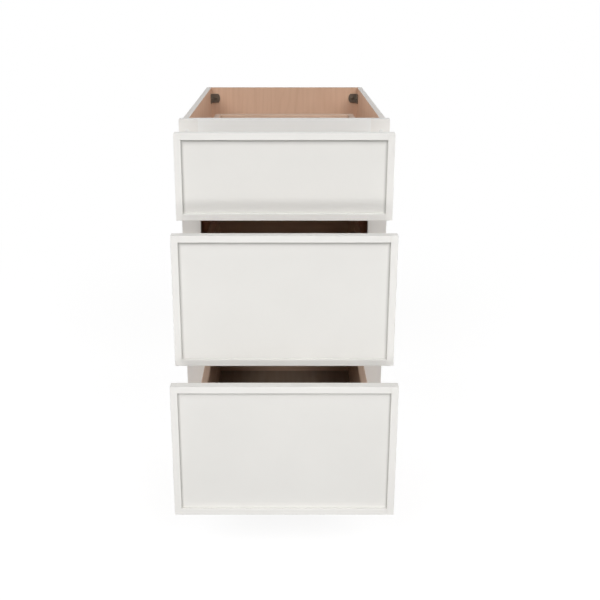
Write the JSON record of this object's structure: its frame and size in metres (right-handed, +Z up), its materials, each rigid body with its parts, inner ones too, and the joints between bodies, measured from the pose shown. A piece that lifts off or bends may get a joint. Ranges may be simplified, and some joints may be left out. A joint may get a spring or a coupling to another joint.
{
  "type": "base cabinet with drawers",
  "caption": "White face-frame base cabinet, open at the top, with slim-frame drawer fronts on dovetailed boxes and full-extension undermount slides.",
  "frame": {"origin": "on the floor, under the middle of the part's width and of its depth as it stands with its drawers open", "axes": "+Z up, +Y from the drawer fronts towards the wall, +X to the right of someone facing the fronts"},
  "size_m": [0.4572, 0.944, 0.8763],
  "materials": {
    "white_paint": "satin white paint on solid wood and board",
    "side_board": "plywood with a white outer face and a clear maple inner face",
    "maple_ply": "maple-faced plywood, clear matt lacquer",
    "maple_solid": "solid maple, clear satin lacquer",
    "slide_steel": "bright zinc-plated sheet steel",
    "bracket_plastic": "dark grey-brown moulded plastic",
    "clip_plastic": "grey moulded plastic",
    "bumper_rubber": "clear soft bumper",
    "screw_steel": "zinc-plated steel"
  },
  "bodies": {
    "cabinet": {"back_panel": "maple_ply", "cabinet_screws": "screw_steel", "corner_brackets": "bracket_plastic", "floor_panel": "maple_ply", "frame_bottom_rail": "white_paint", "frame_bumpers": "bumper_rubber", "frame_lower_rail": "white_paint", "frame_stile_left": "white_paint", "frame_stile_right": "white_paint", "frame_top_rail": "white_paint", "frame_upper_rail": "white_paint", "side_left": "side_board", "side_right": "side_board", "slide_bottom_fixed": "slide_steel", "slide_middle_fixed": "slide_steel", "slide_rear_brackets": "bracket_plastic", "slide_top_fixed": "slide_steel", "toe_kick_board": "white_paint"},
    "drawer_bottom": {"drawer_bottom_box_back": "maple_solid", "drawer_bottom_box_bottom": "maple_ply", "drawer_bottom_box_front": "maple_solid", "drawer_bottom_box_left": "maple_solid", "drawer_bottom_box_right": "maple_solid", "drawer_bottom_clips": "clip_plastic", "drawer_bottom_front_panel": "white_paint", "drawer_bottom_front_rail_bottom": "white_paint", "drawer_bottom_front_rail_top": "white_paint", "drawer_bottom_front_stile_left": "white_paint", "drawer_bottom_front_stile_right": "white_paint", "drawer_bottom_screws": "screw_steel", "slide_bottom_moving": "slide_steel"},
    "drawer_middle": {"drawer_middle_box_back": "maple_solid", "drawer_middle_box_bottom": "maple_ply", "drawer_middle_box_front": "maple_solid", "drawer_middle_box_left": "maple_solid", "drawer_middle_box_right": "maple_solid", "drawer_middle_clips": "clip_plastic", "drawer_middle_front_panel": "white_paint", "drawer_middle_front_rail_bottom": "white_paint", "drawer_middle_front_rail_top": "white_paint", "drawer_middle_front_stile_left": "white_paint", "drawer_middle_front_stile_right": "white_paint", "drawer_middle_screws": "screw_steel", "slide_middle_moving": "slide_steel"},
    "drawer_top": {"drawer_top_box_back": "maple_solid", "drawer_top_box_bottom": "maple_ply", "drawer_top_box_front": "maple_solid", "drawer_top_box_left": "maple_solid", "drawer_top_box_right": "maple_solid", "drawer_top_clips": "clip_plastic", "drawer_top_front_panel": "white_paint", "drawer_top_front_rail_bottom": "white_paint", "drawer_top_front_rail_top": "white_paint", "drawer_top_front_stile_left": "white_paint", "drawer_top_front_stile_right": "white_paint", "drawer_top_screws": "screw_steel", "slide_top_moving": "slide_steel"},
    "runner_bottom": {"slide_bottom_middle": "slide_steel"},
    "runner_middle": {"slide_middle_middle": "slide_steel"},
    "runner_top": {"slide_top_middle": "slide_steel"}
  },
  "joints": [
    {"name": "drawer_top_slide", "type": "slide", "parent": "cabinet", "child": "drawer_top", "axis": [0, -1, 0], "range_m": [-0.125, 0.395]},
    {"name": "runner_top_slide", "type": "slide", "parent": "cabinet", "child": "runner_top", "axis": [0, -1, 0], "range_m": [-0.0625, 0.1975]},
    {"name": "drawer_middle_slide", "type": "slide", "parent": "cabinet", "child": "drawer_middle", "axis": [0, -1, 0], "range_m": [-0.225, 0.295]},
    {"name": "runner_middle_slide", "type": "slide", "parent": "cabinet", "child": "runner_middle", "axis": [0, -1, 0], "range_m": [-0.1125, 0.1475]},
    {"name": "drawer_bottom_slide", "type": "slide", "parent": "cabinet", "child": "drawer_bottom", "axis": [0, -1, 0], "range_m": [-0.313, 0.207]},
    {"name": "runner_bottom_slide", "type": "slide", "parent": "cabinet", "child": "runner_bottom", "axis": [0, -1, 0], "range_m": [-0.1565, 0.1035]}
  ],
  "couplings": [
    {"joint": "runner_top_slide", "follows": "drawer_top_slide", "ratio": 0.5},
    {"joint": "runner_middle_slide", "follows": "drawer_middle_slide", "ratio": 0.5},
    {"joint": "runner_bottom_slide", "follows": "drawer_bottom_slide", "ratio": 0.5}
  ]
}
